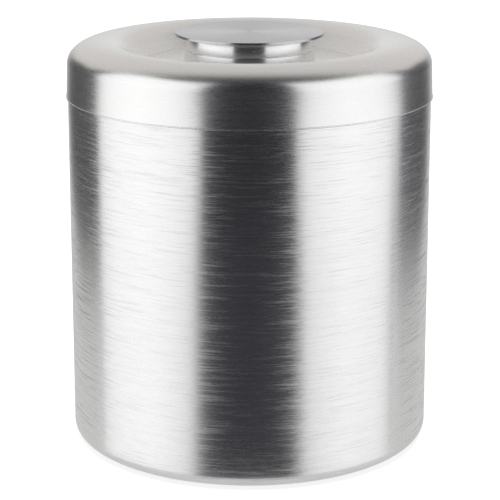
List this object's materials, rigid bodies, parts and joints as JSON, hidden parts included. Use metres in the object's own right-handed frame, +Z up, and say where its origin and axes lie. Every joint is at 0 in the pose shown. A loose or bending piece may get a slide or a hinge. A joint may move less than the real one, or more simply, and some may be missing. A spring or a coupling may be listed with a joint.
{
  "type": "ice bucket",
  "caption": "Insulated round ice bucket: brushed aluminium shell, moulded liner and a lift-off dished lid with a flat disc knob.",
  "frame": {"origin": "centre of the footprint, on the surface the bucket stands on", "axes": "+Z up along the bucket's axis, towards the knob; the bucket is round, so X and Y are any two level directions"},
  "size_m": [0.2324, 0.2324, 0.2619],
  "materials": {
    "shell_aluminium": "satin",
    "lid_aluminium": "satin",
    "knob_aluminium": "satin",
    "liner_plastic": "satin",
    "core_plastic": "matte",
    "foam": "matte",
    "steel_fixings": "satin",
    "brass_inserts": "satin",
    "seal_rubber": "matte"
  },
  "bodies": {
    "bucket": {"outer_shell": "shell_aluminium", "foot_ring": "seal_rubber", "inner_liner": "liner_plastic", "liner_rim_gasket": "seal_rubber", "wall_insulation": "foam", "base_insulation": "foam", "liner_insert": "brass_inserts", "base_washer": "steel_fixings", "base_screw": "steel_fixings"},
    "lid": {"lid_cover": "lid_aluminium", "lid_liner": "liner_plastic", "lid_seal": "seal_rubber", "lid_insulation": "foam", "clamp_sleeve": "steel_fixings", "lid_washer": "steel_fixings", "lid_screw": "steel_fixings", "screw_cap": "liner_plastic", "knob_gasket": "seal_rubber", "knob_neck": "knob_aluminium", "knob_core": "core_plastic", "knob_insert": "brass_inserts", "knob_cap": "knob_aluminium"}
  },
  "joints": [
    {"name": "lid_lift", "type": "slide", "parent": "bucket", "child": "lid", "axis": [0, 0, 1], "range_m": [0, 0.15]}
  ]
}
